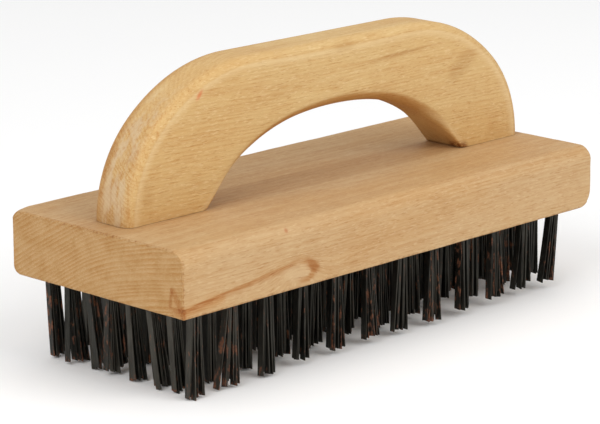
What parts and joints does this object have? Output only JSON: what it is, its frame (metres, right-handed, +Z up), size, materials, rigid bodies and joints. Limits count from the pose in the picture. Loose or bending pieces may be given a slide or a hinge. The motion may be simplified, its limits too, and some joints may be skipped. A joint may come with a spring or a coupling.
{
  "type": "wire brush",
  "caption": "Block wire brush: a flat beech block full of flat-wire steel tufts, with an arched beech handle on top.",
  "frame": {"origin": "centre of the overall box in X and Y, at the height of the lowest wire tips, so the brush stands on z = 0", "axes": "+X along the block and the wood grain, towards the end with the shorter worn wires; +Y across the block; +Z up from the wire tips to the handle"},
  "size_m": [0.225, 0.09, 0.1104],
  "materials": {
    "block_wood": "bare sanded beech, fine flecks, grain along the block",
    "handle_wood": "bare sanded beech, more golden, edges worn pale",
    "screw_steel": "zinc-plated steel, slightly dull",
    "wire_steel": "dark tempered flat wire with oil black and spots of orange rust",
    "staple_steel": "plain flat steel strip"
  },
  "bodies": {
    "root": {"block": "block_wood", "handle": "handle_wood", "screw_left": "screw_steel", "screw_right": "screw_steel", "tufts_1": "wire_steel", "tufts_2": "wire_steel", "tufts_3": "wire_steel", "tufts_4": "wire_steel", "tufts_5": "wire_steel", "tufts_6": "wire_steel", "tufts_7": "wire_steel", "tufts_8": "wire_steel", "tufts_9": "wire_steel", "tufts_10": "wire_steel", "tufts_11": "wire_steel", "tufts_12": "wire_steel", "anchors_1": "staple_steel", "anchors_2": "staple_steel", "anchors_3": "staple_steel", "anchors_4": "staple_steel", "anchors_5": "staple_steel", "anchors_6": "staple_steel", "anchors_7": "staple_steel", "anchors_8": "staple_steel", "anchors_9": "staple_steel", "anchors_10": "staple_steel", "anchors_11": "staple_steel", "anchors_12": "staple_steel"}
  },
  "joints": []
}
